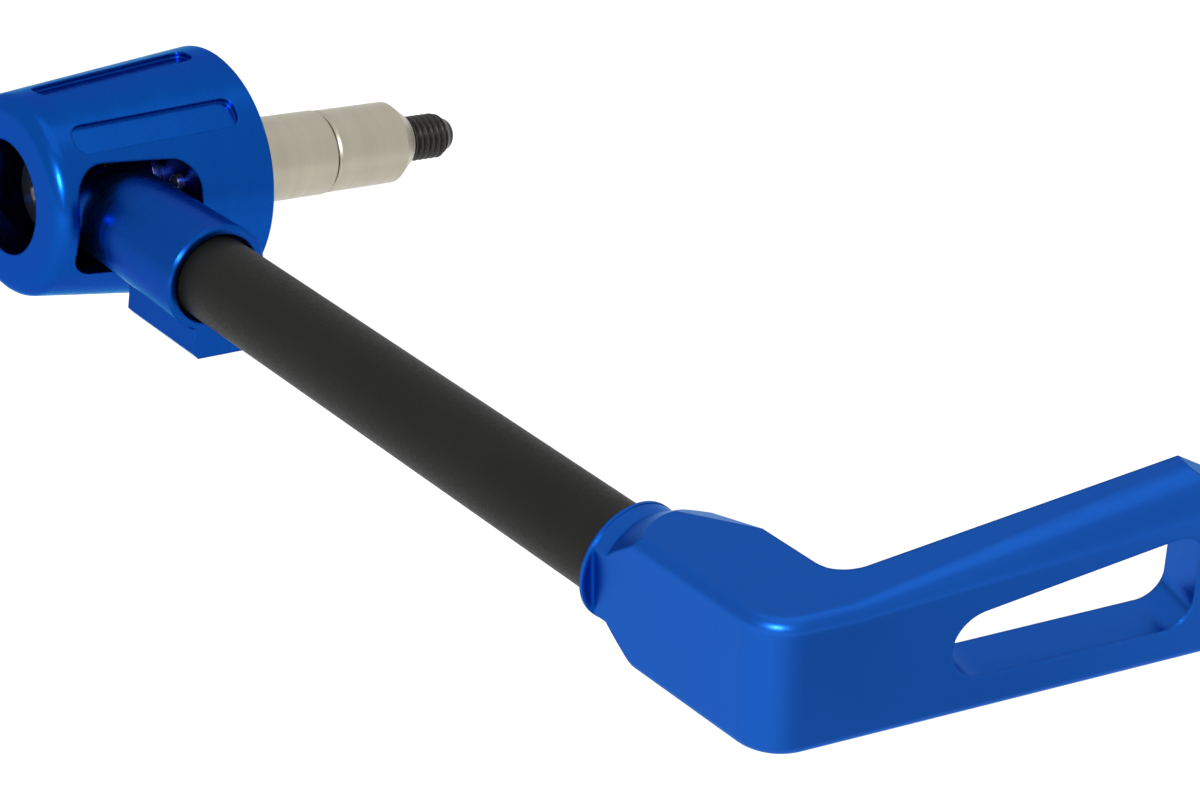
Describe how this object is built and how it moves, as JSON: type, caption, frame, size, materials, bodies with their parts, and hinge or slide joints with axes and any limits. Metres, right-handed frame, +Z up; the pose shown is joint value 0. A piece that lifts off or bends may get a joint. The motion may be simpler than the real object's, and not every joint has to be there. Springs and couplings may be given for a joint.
{
  "type": "brake lever guard",
  "caption": "Handlebar-end lever guard: a turned barrel with an expander plug carries a tubular arm and an angled paddle in front of the brake lever.",
  "frame": {"origin": "centre of the barrel's inboard seating face, on the handlebar's axis", "axes": "+X along the handlebar's axis from the barrel into the bar, -Y along the arm away from the bar, +Z up as pictured"},
  "size_m": [0.0895, 0.213, 0.0475],
  "materials": {
    "blue_anodised": "satin blue anodised",
    "black_anodised": "matt black anodised",
    "bare_aluminium": "fine turned, uncoated",
    "black_steel": "black oxide",
    "plain_steel": "zinc plated"
  },
  "bodies": {
    "mount": {"barrel": "blue_anodised", "stop_pin": "plain_steel", "arm_socket": "blue_anodised", "socket_screws": "black_steel", "head_washer": "plain_steel", "thrust_washer": "plain_steel", "expander_sleeve": "bare_aluminium"},
    "arm": {"guard_tube": "black_anodised", "deflector": "blue_anodised", "deflector_screw": "black_steel"},
    "bolt": {"clamp_bolt": "black_steel"},
    "nut": {"cone_nut": "bare_aluminium"}
  },
  "joints": [
    {"name": "bolt_turn", "type": "hinge", "parent": "mount", "child": "bolt", "pos_m": [-0.0232, 0, 0], "axis": [-1, 0, 0], "range_deg": [0, 1080]},
    {"name": "nut_travel", "type": "slide", "parent": "mount", "child": "nut", "axis": [1, 0, 0], "range_m": [0, 0.0038]},
    {"name": "arm_turn", "type": "hinge", "parent": "mount", "child": "arm", "pos_m": [-0.024, -0.028, 0], "axis": [0, -1, 0], "range_deg": [-45, 45]}
  ],
  "couplings": [
    {"joint": "nut_travel", "follows": "bolt_turn", "m_per_rad": 0.00019894}
  ]
}
